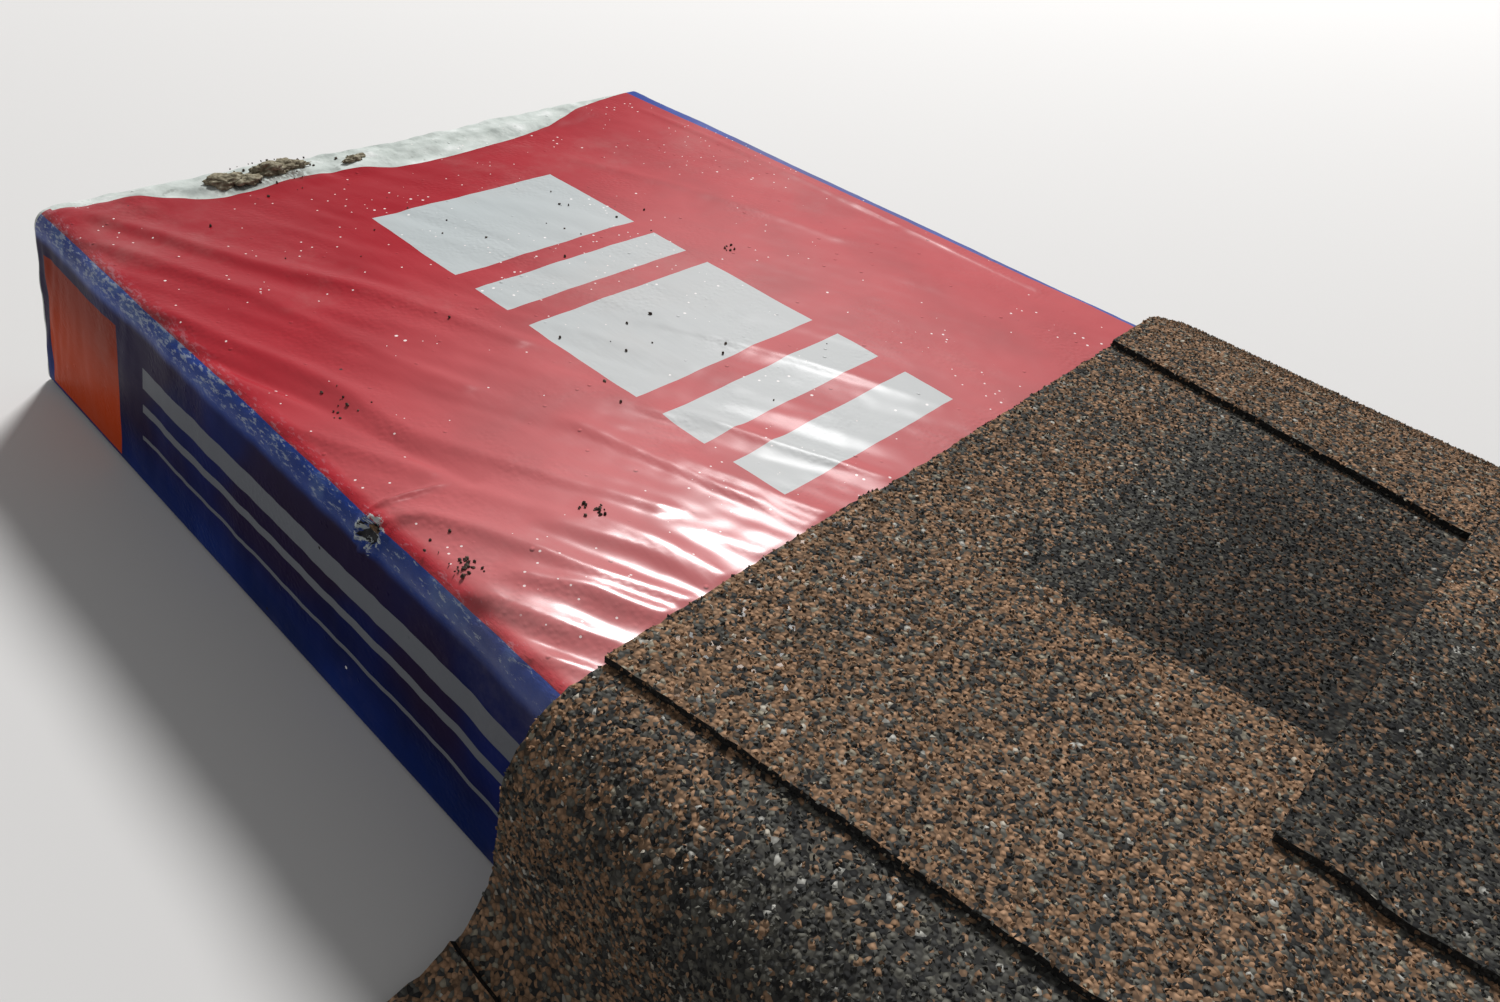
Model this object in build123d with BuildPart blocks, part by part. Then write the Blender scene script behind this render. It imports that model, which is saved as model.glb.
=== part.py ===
from build123d import *
import os
from math import atan, cos, degrees, radians, sin, sqrt, tan

# A wrapped bundle of laminated asphalt shingles with two loose shingles draped across it.
# Millimetres, +Z up. The origin is the middle of the bundle's underside, on the floor.
# +X runs along the bundle towards the near end, +Y to the right of someone who looks along +X
# from the left long side. The loose shingles lie across the bundle, butt edges facing -X.

# One laminated shingle: a full overlay with teeth, and a backing strip under the teeth
shingle_length = 1000.0      # 39-3/8 in
shingle_depth = 336.6        # 13-1/4 in
ply_thickness = 2.6
ply_gap = 0.2                # sealant between the plies, and air between stacked shingles
backing_clearance = 3.3      # a backing strip is this much short of half the shingle's depth
root_cover = 7.0             # backing left above the root of the notches

# The bundle: pairs of shingles packed back to back
shingle_pairs = 10
lean_along = 16.0            # the stack's top lies this much further towards +X than its foot
lean_across = 10.0           # and this much further right
film_wall = 0.3
film_seat_gap = 0.3          # under the stack
film_top_radius = 9.0        # long top edges
film_corner_gap = 0.15       # from the stack's sharp edges to the film's rounding

# The loose shingles
lower_butt = -136.0          # X of the lower shingle's butt edge
exposure = 152.0             # from there to the upper one's butt edge
upper_shift = 12.0           # the upper one lies this much further to the right
lay_gap = 0.3                # between the film and the lower shingle
joggle_lap = 6.0             # along X, where a ply steps down over the end of the ply below

# The drape, from the left floor over the bundle to the right ends, which droop beyond it
left_angle = 83.0            # how steeply the left side hangs
left_shoulder_radius = 26.0
left_shoulder_gap = 0.1      # least gap between the shoulder and the film's rounding
left_foot_radius = 40.0
right_angle = 22.0
right_shoulder_radius = 25.0
right_shoulder_inset = 10.2  # from the bundle's right top edge
right_overhang = 49.0        # straight run from the shoulder to the lower shingle's right end
overhang_spare = 5.0         # the run goes on this far beyond the upper shingle's right end

# Notches between the teeth: start and width at the butt edge, measured along the shingle from
# its left end, then how far the start and the end have moved along it at the notch's root
lower_notches = [(36, 96, -9, 12), (276, 82, 10, 9), (520, 105, -10, 18), (742, 168, 12, -15)]
upper_notches = [(20, 100, 10, -9), (309, 98, 12, -9), (543, 152, 11, 16), (904, 96, -10, 0)]
stacked_notches = [(70, 120, -10, 12), (330, 150, 12, -12), (640, 165, -11, 10), (900, 100, 9, 0)]

backing_depth = shingle_depth / 2 - backing_clearance
tooth_depth = backing_depth - root_cover
level_pitch = ply_thickness + ply_gap
pair_pitch = 3 * level_pitch
stack_height = shingle_pairs * pair_pitch - ply_gap
stack_base = film_wall + film_seat_gap

# How far the stack and its film slide for each millimetre of height
slope_along = lean_along / stack_height
slope_across = lean_across / stack_height
lean_angle = degrees(atan(slope_across))

# The film stands off at the sides, the ends and the top, so that its rounding clears the stack.
# The sharper of the two top edges, on the right, decides how much
sharp_half_angle = 45 - lean_angle / 2
film_slack = film_corner_gap + (film_top_radius - film_wall) * (1 - sin(radians(sharp_half_angle)))
film_foot_radius = film_slack + film_wall
film_end_radius = film_slack
bundle_length = shingle_length + 2 * (film_slack + film_wall)
bundle_width = shingle_depth + 2 * (film_slack + film_wall)
bundle_height = stack_base + stack_height + film_slack + film_wall
drape_height = bundle_height + lay_gap


def arc_length(radius, angle):
    return radius * radians(angle)


def arc_rise(radius, angle):
    return radius * (1 - cos(radians(angle)))


# The straight stretch that brings the left side down to the floor, and the one on top
left_bends_rise = arc_rise(left_shoulder_radius, left_angle) + arc_rise(left_foot_radius, left_angle)
left_riser = (drape_height - left_bends_rise) / sin(radians(left_angle))
top_left = slope_across * bundle_height - bundle_width / 2
shoulder_spare = left_shoulder_radius - film_top_radius
shoulder_play = lay_gap - left_shoulder_gap
left_shoulder_inset = sqrt(shoulder_play * (2 * shoulder_spare - lay_gap - left_shoulder_gap))
top_start = top_left + film_top_radius * tan(radians(sharp_half_angle)) + left_shoulder_inset
top_run = top_left + bundle_width - right_shoulder_inset - top_start

# Legs of the drape after the left floor run, as length and turn (left turns positive)
hanging_legs = [
    (arc_length(left_foot_radius, left_angle), left_angle),
    (left_riser, 0),
    (arc_length(left_shoulder_radius, left_angle), -left_angle),
    (top_run, 0),
    (arc_length(right_shoulder_radius, right_angle), -right_angle),
    (right_overhang, 0),
]
left_tail = shingle_length - sum(length for length, turn in hanging_legs)
drape_legs = [(left_tail, 0)] + hanging_legs + [(upper_shift + overhang_spare, 0)]

# Where the left floor run starts, found from the top run's start
left_reach = left_tail + left_riser * cos(radians(left_angle))
left_reach += (left_foot_radius + left_shoulder_radius) * sin(radians(left_angle))
tail_start = top_start - left_reach


def walk_leg(point, heading, distance, length, turn):
    """Point and heading after a distance along one leg."""
    if turn == 0:
        y = point[0] + distance * cos(radians(heading))
        z = point[1] + distance * sin(radians(heading))
        return (y, z), heading
    radius = length / radians(turn)
    after = heading + turn * distance / length
    y = point[0] + radius * (sin(radians(after)) - sin(radians(heading)))
    z = point[1] - radius * (cos(radians(after)) - cos(radians(heading)))
    return (y, z), after


def drape_point(distance, height):
    """Y and Z at a distance along the drape and a height off its underside, and the heading there."""
    point, heading, walked = (tail_start, 0.0), 0.0, 0.0
    for length, turn in drape_legs:
        step = min(distance - walked, length)
        point, heading = walk_leg(point, heading, step, length, turn)
        walked += length
        if distance <= walked:
            break
    y = point[0] - height * sin(radians(heading))
    z = point[1] + height * cos(radians(heading))
    return (y, z), heading


def trace_drape(first, last, height):
    """Adds the drape's line between two distances, at one height, to the open BuildLine."""
    walked = 0.0
    for length, turn in drape_legs:
        start, end = max(first, walked), min(last, walked + length)
        walked += length
        if end - start < 1e-6:
            continue
        points = [drape_point(at, height)[0] for at in (start, (start + end) / 2, end)]
        if turn == 0:
            Line(points[0], points[2])
        else:
            ThreePointArc(*points)


def strip_face(x, first, last, low, high):
    """Section at x of a sheet that follows the drape between two distances and two heights."""
    with BuildSketch(Plane.YZ.offset(x)) as section:
        with BuildLine():
            trace_drape(first, last, low)
            trace_drape(first, last, high)
            Line(drape_point(first, low)[0], drape_point(first, high)[0])
            Line(drape_point(last, low)[0], drape_point(last, high)[0])
        make_face()
    return section.sketch


def wedge_face(x, distance, height, lean, widens):
    """Triangle on the sheet between a notch's straight side and its slanted edge."""
    (y, z), heading = drape_point(distance, height)
    normal = (0, -sin(radians(heading)), cos(radians(heading)))
    corner = (tooth_depth, 0) if widens else (0, lean)
    with BuildSketch(Plane(origin=(x, y, z), x_dir=(1, 0, 0), z_dir=normal)) as wedge:
        with BuildLine():
            Polyline((0, 0), corner, (tooth_depth, lean), close=True)
        make_face()
    return wedge.sketch


def settle(start, end, heap):
    """Runs of a ply laid on a heap of plies, as start x, end x and level, and the heap with it."""
    runs, at = [], start
    for reach, level in heap:
        if at < reach and at < end:
            runs.append((at, min(reach + ply_gap + joggle_lap, end), level + 1))
            at = reach + ply_gap
    if at < end:
        runs.append((at, end, 0))
    beyond = [(reach, level) for reach, level in heap if reach > end]
    return runs, [(run_end, level) for _, run_end, level in runs] + beyond


def lay_ply(shift, runs):
    """Adds a draped ply to the open part, with each step down joined through its lap."""
    first, last = shift, shift + shingle_length
    for start, end, level in runs:
        low = level * level_pitch
        extrude(strip_face(start, first, last, low, low + ply_thickness), amount=end - start)
    for (_, end, upper), (start, _, lower) in zip(runs, runs[1:]):
        lap = strip_face(start, first, last, lower * level_pitch, upper * level_pitch + ply_gap)
        extrude(lap, amount=end - start)


def cut_notches(shift, runs, notches):
    """Cuts the notches from the open part, through the levels that its toothed stretch lies on."""
    butt = runs[0][0]
    levels = [level for start, _, level in runs if start < butt + tooth_depth]
    low = min(levels) * level_pitch - ply_gap
    high = max(levels) * level_pitch + ply_thickness + ply_gap
    for start, width, start_lean, end_lean in notches:
        first = shift + start + max(start_lean, 0)
        last = shift + start + width + min(end_lean, 0)
        extrude(strip_face(butt, first, last, low, high), amount=tooth_depth, mode=Mode.SUBTRACT)
        sides = [(start, start_lean, start_lean < 0), (start + width, end_lean, end_lean > 0)]
        for edge, lean, widens in sides:
            if lean:
                wedge = wedge_face(butt, shift + edge, (low + high) / 2, lean, widens)
                extrude(wedge, amount=high - low, both=True, mode=Mode.SUBTRACT)


def overlay_plan(notches):
    """Plan of a flat overlay: its length along X, its butt edge on the X axis, depth along +Y."""
    with BuildSketch() as plan:
        Rectangle(shingle_length, shingle_depth, align=(Align.CENTER, Align.MIN))
        for start, width, start_lean, end_lean in notches:
            left = start - shingle_length / 2
            right = left + width
            with BuildLine():
                Polyline((left, 0), (right, 0), (right + end_lean, tooth_depth),
                         (left + start_lean, tooth_depth), close=True)
            make_face(mode=Mode.SUBTRACT)
    return plan.sketch


def lean_to(z):
    """Where the middle of the leaning bundle is at a height."""
    return Vector(slope_along * z, slope_across * z, z)


def film_block(inset):
    """Solid of the film's outer form, shrunk by an inset all round."""
    rise = lean_to(bundle_height - 2 * inset)
    with BuildPart() as block:
        with BuildSketch(Plane(lean_to(inset))):
            Rectangle(bundle_length - 2 * inset, bundle_width - 2 * inset)
        extrude(amount=rise.length, dir=rise)
        long_edges = block.edges().filter_by(Axis.X).group_by(Axis.Z)
        fillet(long_edges[-1], film_top_radius - inset)
        fillet(long_edges[0], film_foot_radius - inset)
        far_end = block.faces().sort_by(Axis.X)[0]
        near_end = block.faces().sort_by(Axis.X)[-1]
        fillet(far_end.edges() + near_end.edges(), film_end_radius - inset)
    return block.part


# The wrapper: a sealed sleeve of printed film
with BuildPart() as wrapper_film:
    add(film_block(0))
    add(film_block(film_wall), mode=Mode.SUBTRACT)
wrapper_film.part.label = "wrapper_film"

# The stack inside. In each pair the lower shingle lies face down with its butt edge to the right,
# the upper one face up with its butt edge to the left, and their backing strips share a layer
with BuildPart() as stacked_overlays:
    for pair in range(shingle_pairs):
        down = lean_to(stack_base + pair * pair_pitch)
        up = lean_to(stack_base + pair * pair_pitch + 2 * level_pitch)
        plan = overlay_plan(stacked_notches)
        with Locations(up - (0, shingle_depth / 2, 0)):
            add(extrude(plan, amount=ply_thickness, mode=Mode.PRIVATE))
        with Locations(Location(down + (0, shingle_depth / 2, ply_thickness), (180, 0, 0))):
            add(extrude(plan, amount=ply_thickness, mode=Mode.PRIVATE))
stacked_overlays.part.label = "stacked_overlays"

with BuildPart() as stacked_backings:
    backing_middle = (shingle_depth - backing_depth) / 2
    for pair in range(shingle_pairs):
        middle = lean_to(stack_base + pair * pair_pitch + level_pitch)
        with Locations(middle - (0, backing_middle, 0), middle + (0, backing_middle, 0)):
            Box(shingle_length, backing_depth, ply_thickness,
                align=(Align.CENTER, Align.CENTER, Align.MIN))
stacked_backings.part.label = "stacked_backings"

# The loose shingles, each ply settled on the ones below it
upper_butt = lower_butt + exposure
lower_backing_runs, heap = settle(lower_butt, lower_butt + backing_depth, [])
lower_overlay_runs, heap = settle(lower_butt, lower_butt + shingle_depth, heap)
upper_backing_runs, heap = settle(upper_butt, upper_butt + backing_depth, heap)
upper_overlay_runs, heap = settle(upper_butt, upper_butt + shingle_depth, heap)

with BuildPart() as lower_shingle_backing:
    lay_ply(0, lower_backing_runs)
lower_shingle_backing.part.label = "lower_shingle_backing"

with BuildPart() as lower_shingle_overlay:
    lay_ply(0, lower_overlay_runs)
    cut_notches(0, lower_overlay_runs, lower_notches)
lower_shingle_overlay.part.label = "lower_shingle_overlay"

with BuildPart() as upper_shingle_backing:
    lay_ply(upper_shift, upper_backing_runs)
upper_shingle_backing.part.label = "upper_shingle_backing"

with BuildPart() as upper_shingle_overlay:
    lay_ply(upper_shift, upper_overlay_runs)
    cut_notches(upper_shift, upper_overlay_runs, upper_notches)
upper_shingle_overlay.part.label = "upper_shingle_overlay"

os.makedirs("parts", exist_ok=True)
export_step(wrapper_film.part, "parts/wrapper_film.step")
export_step(stacked_overlays.part, "parts/stacked_overlays.step")
export_step(stacked_backings.part, "parts/stacked_backings.step")
export_step(lower_shingle_backing.part, "parts/lower_shingle_backing.step")
export_step(lower_shingle_overlay.part, "parts/lower_shingle_overlay.step")
export_step(upper_shingle_backing.part, "parts/upper_shingle_backing.step")
export_step(upper_shingle_overlay.part, "parts/upper_shingle_overlay.step")
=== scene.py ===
import math
from functools import partial

import bmesh
import bpy
import numpy as np
from mathutils import Matrix, Vector, noise


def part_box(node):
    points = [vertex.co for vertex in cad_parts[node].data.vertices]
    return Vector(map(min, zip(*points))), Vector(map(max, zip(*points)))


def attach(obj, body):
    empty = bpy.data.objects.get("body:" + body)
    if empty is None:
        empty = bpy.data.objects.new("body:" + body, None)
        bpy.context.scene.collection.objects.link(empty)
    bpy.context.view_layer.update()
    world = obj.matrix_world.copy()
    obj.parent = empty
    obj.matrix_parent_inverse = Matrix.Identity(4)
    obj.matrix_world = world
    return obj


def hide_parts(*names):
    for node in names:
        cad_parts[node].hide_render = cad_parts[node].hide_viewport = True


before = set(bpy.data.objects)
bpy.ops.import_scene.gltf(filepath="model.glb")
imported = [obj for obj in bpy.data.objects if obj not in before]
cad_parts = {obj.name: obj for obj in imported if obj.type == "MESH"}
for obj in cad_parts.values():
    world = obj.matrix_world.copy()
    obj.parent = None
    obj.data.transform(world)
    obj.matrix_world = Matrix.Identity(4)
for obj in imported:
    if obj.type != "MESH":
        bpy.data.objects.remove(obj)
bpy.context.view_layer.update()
mm = 0.001
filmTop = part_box("wrapper_film")[1].z

# The bundle leans: its top lies further towards +X and further right than its foot
bundle = {
    "length": 1006.7 * mm,
    "width": 343.3 * mm,
    "height": filmTop,
    "slopeAlong": 16 / 83.8,
    "slopeAcross": 10 / 83.8,
    "topRadius": 9 * mm,
    "footRadius": 3 * mm,
    "endRadius": 3 * mm,
}
topFar = bundle["slopeAlong"] * bundle["height"] - bundle["length"] / 2      # X of the top's far edge
topLeft = bundle["slopeAcross"] * bundle["height"] - bundle["width"] / 2     # Y of the top's left edge


def addObject(name, data):
    made = bpy.data.objects.new(name, data)
    bpy.context.scene.collection.objects.link(made)
    return made


# Camera, from the photograph's vanishing points
photo = {
    "alongFromFarEdge": 496.5 * mm,
    "acrossFromLeftEdge": -117.4 * mm,
    "aboveTop": 219.9 * mm,
    "forward": (-0.485, 0.6168, -0.6199),
    "right": (0.7188, 0.685, 0.1191),
    "lens": 25.67,
    "sensor": 36.0,
}


def setCamera():
    data = bpy.data.cameras.new("photoView")
    data.lens, data.sensor_width = photo["lens"], photo["sensor"]
    data.clip_start, data.clip_end = 0.01, 50
    camera = addObject("photoView", data)
    forward, right = Vector(photo["forward"]).normalized(), Vector(photo["right"])
    right = (right - forward * right.dot(forward)).normalized()
    up = right.cross(forward)
    turn = Matrix((right, up, -forward)).transposed().to_4x4()
    place = (topFar + photo["alongFromFarEdge"], topLeft + photo["acrossFromLeftEdge"],
             bundle["height"] + photo["aboveTop"])
    camera.matrix_world = Matrix.Translation(place) @ turn
    bpy.context.scene.camera = camera


setCamera()
print("camera set")


# Small helpers for meshes and fields

def makePiece(name, points, faces, materials, slots=None):
    mesh = bpy.data.meshes.new(name)
    mesh.from_pydata(np.asarray(points).tolist(), [], faces)
    for material in materials:
        mesh.materials.append(material)
    if slots is not None:
        mesh.polygons.foreach_set("material_index", np.asarray(slots, np.int32))
    mesh.polygons.foreach_set("use_smooth", np.ones(len(mesh.polygons), bool))
    mesh.update()
    return addObject(name, mesh)


def triples(first, second, third=0.0):
    return np.stack([first, second, np.full(len(first), float(third))], 1)


def noiseField(points, scale, seed):
    shift = Vector((seed * 7.31, seed * 3.17, seed * 5.73))
    values = (noise.noise(Vector(point) + shift) for point in (np.asarray(points) * scale).tolist())
    return np.fromiter(values, float, len(points))


def smoothRise(values, low, high):
    share = np.clip((values - low) / (high - low), 0, 1)
    return share * share * (3 - 2 * share)


def smoothFall(values, low, high):
    return 1 - smoothRise(values, low, high)


# Small helpers for node trees

def feed(tree, node, inputs):
    for key, value in inputs.items():
        if isinstance(value, bpy.types.NodeSocket):
            tree.links.new(value, node.inputs[key])
        else:
            node.inputs[key].default_value = value


def addNode(tree, kind, inputs=None, **settings):
    made = tree.nodes.new(kind)
    for key, value in settings.items():
        setattr(made, key, value)
    feed(tree, made, inputs or {})
    return made


def maths(tree, operation, *values, clamp=False):
    inputs = dict(enumerate(values))
    return addNode(tree, "ShaderNodeMath", inputs, operation=operation, use_clamp=clamp).outputs[0]


def arithmetic(tree, *operations):
    return [partial(maths, tree, operation) for operation in operations]


def ramp(tree, factor, stops, interpolation="LINEAR"):
    made = addNode(tree, "ShaderNodeValToRGB", {"Fac": factor})
    made.color_ramp.interpolation = interpolation
    while len(made.color_ramp.elements) < len(stops):
        made.color_ramp.elements.new(0.5)
    for element, (place, colour) in zip(made.color_ramp.elements, stops):
        element.position = place
        element.color = (*colour, 1.0)
    return made.outputs["Color"]


def span(tree, value, low, high):
    inputs = {"Value": value, "From Min": low, "From Max": high}
    return addNode(tree, "ShaderNodeMapRange", inputs, interpolation_type="SMOOTHSTEP").outputs["Result"]


def blendColour(tree, factor, first, second):
    first, second = (value if isinstance(value, bpy.types.NodeSocket) else (*value, 1.0)
                     for value in (first, second))
    return addNode(tree, "ShaderNodeMix", {0: factor, 6: first, 7: second}, data_type="RGBA").outputs[2]


def objectPlace(tree):
    return addNode(tree, "ShaderNodeTexCoord").outputs["Object"]


def noiseMask(tree, vector, scale, detail, roughness=0.5):
    inputs = {"Vector": vector, "Scale": scale, "Detail": detail, "Roughness": roughness}
    return addNode(tree, "ShaderNodeTexNoise", inputs).outputs["Fac"]


def cellPicks(tree, vector, scale):
    cells = addNode(tree, "ShaderNodeTexVoronoi", {"Vector": vector, "Scale": scale}).outputs
    return cells["Distance"], addNode(tree, "ShaderNodeSeparateColor", {"Color": cells["Color"]}).outputs


def bumpNormal(tree, height, distance):
    return addNode(tree, "ShaderNodeBump", {"Height": height, "Distance": distance}).outputs["Normal"]


def newGroup(name, inputs, outputs, kind="ShaderNodeTree"):
    group = bpy.data.node_groups.new(name, kind)
    for way, labels in (("INPUT", inputs), ("OUTPUT", outputs)):
        for label, socketKind in labels.items():
            group.interface.new_socket(label, in_out=way, socket_type="NodeSocket" + socketKind)
    return group, group.nodes.new("NodeGroupInput").outputs, group.nodes.new("NodeGroupOutput")


def newMaterial(name):
    material = bpy.data.materials.new(name)
    material.use_nodes = True
    return material, material.node_tree, material.node_tree.nodes["Principled BSDF"]


# Shingle materials: granules on top, bare asphalt on cut edges and undersides
shingleLook = {
    "granuleScale": 600.0,
    "warp": (0.9 * mm,) * 3,
    "bump": 0.6 * mm,
    "gloss": {"Roughness": 0.9, "Specular IOR Level": 0.12, "Coat Roughness": 0.16},
    "glintCoat": 0.07,
    "brown": [(0.0, (0.09, 0.062, 0.042)), (0.1, (0.17, 0.105, 0.065)), (0.3, (0.25, 0.15, 0.088)),
              (0.55, (0.32, 0.19, 0.112)), (0.8, (0.375, 0.23, 0.14)), (0.92, (0.28, 0.25, 0.19)),
              (0.985, (0.45, 0.41, 0.34))],
    "grey": [(0.0, (0.022, 0.022, 0.022)), (0.18, (0.045, 0.045, 0.043)), (0.45, (0.085, 0.083, 0.074)),
             (0.72, (0.135, 0.13, 0.11)), (0.9, (0.27, 0.17, 0.105)), (0.985, (0.42, 0.41, 0.37))],
    "darkened": (0.006, 0.007, 0.008),
    "creviceAsphaltShade": (0.012, 0.011, 0.01),
    "grainSpreads": (13.7, 57.1, 91.3),       # they make three picks of a loose granule's one number
    "asphalt": [(0.35, (0.006, 0.006, 0.006)), (0.62, (0.022, 0.021, 0.02)), (0.8, (0.09, 0.085, 0.08))],
    "asphaltGloss": {"Roughness": 0.9, "Specular IOR Level": 0.15},
}


# Tone runs from 0, brown, to 1, grey, and over 1 the greys darken too. Grain is over 0 on loose granules
def makeGranuleGroup():
    tree, given, result = newGroup(
        "granules", {"Vector": "Vector", "Scale": "Float", "Tone": "Float", "Grain": "Float"},
        {"Colour": "Color", "Height": "Float", "Glint": "Float"})
    minus, times, timesPlus = arithmetic(tree, "SUBTRACT", "MULTIPLY", "MULTIPLY_ADD")
    below, above = arithmetic(tree, "LESS_THAN", "GREATER_THAN")
    tone, grain = given["Tone"], given["Grain"]
    distance, cellPick = cellPicks(tree, given["Vector"], given["Scale"])
    loose = above(grain, 0.001)
    picks = []
    for pick, spread in zip(cellPick, shingleLook["grainSpreads"]):
        own = maths(tree, "FRACT", times(grain, spread))
        picks.append(addNode(tree, "ShaderNodeMix", {0: loose, 2: pick, 3: own}).outputs[0])
    over = maths(tree, "MAXIMUM", minus(tone, 1.0), 0.0)
    greyShare = timesPlus(over, -0.35, maths(tree, "MINIMUM", tone, 1.0))
    brown, grey = (ramp(tree, picks[1], shingleLook[name], "CONSTANT") for name in ("brown", "grey"))
    colour = blendColour(tree, below(picks[0], greyShare), brown, grey)
    colour = blendColour(tree, times(span(tree, tone, 1.0, 2.0), 0.7), colour, shingleLook["darkened"])
    # Darker between granules: asphalt showing there, and painted shade in the crevices
    creviceAsphaltShade = times(span(tree, distance, 0.36, 0.66), minus(1.0, loose))
    colour = blendColour(tree, times(creviceAsphaltShade, 0.5), colour, shingleLook["creviceAsphaltShade"])
    dome = minus(1.0, span(tree, distance, 0.05, 0.62))
    feed(tree, result, {"Colour": colour, "Height": times(dome, timesPlus(picks[2], 0.7, 0.5)),
                        "Glint": above(picks[2], 0.975)})
    return tree


granuleGroup = makeGranuleGroup()


def makeGranuleMaterial(name):
    material, tree, shader = newMaterial(name)
    place = objectPlace(tree)
    tone, grain = (addNode(tree, "ShaderNodeAttribute", attribute_name=label).outputs["Fac"]
                   for label in ("tone", "grain"))
    cloud = maths(tree, "MULTIPLY_ADD", noiseMask(tree, place, 38.0, 3.0), 0.5, -0.25)
    warp = addNode(tree, "ShaderNodeTexNoise", {"Vector": place, "Scale": 420.0, "Detail": 1.0})
    bent = addNode(tree, "ShaderNodeVectorMath", {0: warp.outputs["Color"], 1: shingleLook["warp"], 2: place},
                   operation="MULTIPLY_ADD")
    inputs = {"Vector": bent.outputs[0], "Scale": shingleLook["granuleScale"],
              "Tone": maths(tree, "ADD", tone, cloud), "Grain": grain}
    look = addNode(tree, "ShaderNodeGroup", inputs, node_tree=granuleGroup).outputs
    coat = maths(tree, "MULTIPLY", look["Glint"], shingleLook["glintCoat"])
    normal = bumpNormal(tree, look["Height"], shingleLook["bump"])
    feed(tree, shader, {"Base Color": look["Colour"], "Coat Weight": coat, "Normal": normal})
    feed(tree, shader, shingleLook["gloss"])
    return material


def makeGrittyMaterial(name, scale, detail, stops, depth, gloss):
    material, tree, shader = newMaterial(name)
    grit = noiseMask(tree, objectPlace(tree), scale, detail)
    normal = bumpNormal(tree, grit, depth)
    feed(tree, shader, {"Base Color": ramp(tree, grit, stops), "Normal": normal, **gloss})
    return material


overlayMaterial = makeGranuleMaterial("overlayGranules")
backingMaterial = makeGranuleMaterial("backingGranules")
stackedMaterial = makeGranuleMaterial("stackedGranules")
asphaltMaterial = makeGrittyMaterial("cutAsphalt", 900.0, 4.0, shingleLook["asphalt"], shingleLook["bump"],
                                     shingleLook["asphaltGloss"])

# The printed film's colours, with shaded copies for its sides, and its prints as four sides in millimetres:
# along from the nearer end,
# then across from the left top edge, or down from either top edge
filmLook = {
    "blue": [(0.3, (0.006, 0.028, 0.16)), (0.55, (0.009, 0.042, 0.26)), (0.75, (0.018, 0.07, 0.35))],
    "shadedNavy": [(0.35, (0.005, 0.008, 0.05)), (0.6, (0.007, 0.013, 0.09)), (0.75, (0.01, 0.018, 0.125))],
    "red": [(0.3, (0.33, 0.012, 0.022)), (0.52, (0.40, 0.018, 0.03)), (0.75, (0.45, 0.03, 0.042))],
    "milky": [(0.3, (0.30, 0.33, 0.31)), (0.45, (0.46, 0.50, 0.47)), (0.6, (0.56, 0.60, 0.57)),
              (0.72, (0.70, 0.72, 0.70))],
    "shadedDeepRed": (0.29, 0.011, 0.019),
    "white": (0.43, 0.465, 0.47),
    "shadedSideWhite": (0.16, 0.17, 0.19),
    "orange": (0.50, 0.055, 0.01),
    "dullOrange": (0.22, 0.022, 0.006),
    "purple": (0.020, 0.009, 0.026),
    "stackedEdges": (0.05, 0.043, 0.038),
    "pairPitch": 4.19 * mm,       # of the layers seen through the ends
    "redStart": 1.5 * mm,
    "redEnd": 329.5 * mm,         # at the far end; the blue line narrows towards the shingles
    "redWidens": (0.3, 0.016),    # up to this distance along, by this share of it
    "blocks": [(78, 142, 112, 212), (156, 178, 112, 212), (192, 256, 112, 212), (270, 292, 112, 212),
               (306, 330, 112, 212)],
    "sideStripes": [(104, 600, 26, 36), (104, 600, 44, 48), (104, 600, 60, 62)],
    "orangeBlock": (10, 82, 17, 84),
    # Depth of the clear end film on the top, in millimetres: across from the left edge, along from the end
    "clearRim": [(0, 3), (9, 7.6), (32, 10.7), (53, 19.9), (73, 25.3), (124, 21.7), (167, 31.6), (231, 28),
                 (306, 5.3), (343.3, 1)],
    "rimLimit": 40,               # the most that clearRim may reach
    "sideRim": 4 * mm,            # and its depth on the sides
    "mudPlace": (17 * mm, 92 * mm),
    "gloss": {"IOR": 1.1, "Specular IOR Level": 0.2, "Coat Roughness": 0.23, "Coat IOR": 1.37},
}

# Wear and dirt on the film, and painted shade, glints, highlight and sheen: its red, green and blue, and how
# much of it shows
filmWear = {
    "rubbed": (0.10, 0.17, 0.36, 0.5),
    "scuffed": (0.42, 0.47, 0.55, 0.65),
    "rimHighlight": (0.44, 0.49, 0.54, 1),
    "smeared": (0.17, 0.18, 0.16, 0.5),
    "frayed": (0.46, 0.5, 0.5, 1),
    "shadeInTear": (0.012, 0.012, 0.016, 1),
    "mudSmearAndShade": (0.07, 0.05, 0.035, 0.8),
    "dust": (0.42, 0.36, 0.33, 0.22),
    "darkSpeck": (0.025, 0.02, 0.02, 1),
    "paleSpeckAndGlint": (0.75, 0.74, 0.72, 1),
    "glintDot": (0.86, 0.76, 0.74, 0.8),
    "glint": (0.95, 0.9, 0.88, 0.75),
    "paintedSheen": (0.95, 0.8, 0.76, 0.14),
}
tear = {"along": 260 * mm, "across": -3 * mm, "radius": 4.5 * mm, "depth": 2.2 * mm, "lip": 1.3 * mm}


def makeBoxGroup():
    labels = ("Along", "Across", "Start", "End", "Low", "High")
    tree, given, result = newGroup("printedBox", dict.fromkeys(labels, "Float"), {"Mask": "Float"})
    along, across, start, end, low, high = (given[label] for label in labels)
    times, below, above = arithmetic(tree, "MULTIPLY", "LESS_THAN", "GREATER_THAN")
    within = times(above(along, start), below(along, end)), times(above(across, low), below(across, high))
    feed(tree, result, {"Mask": times(*within)})
    return tree


boxGroup = makeBoxGroup()


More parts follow.
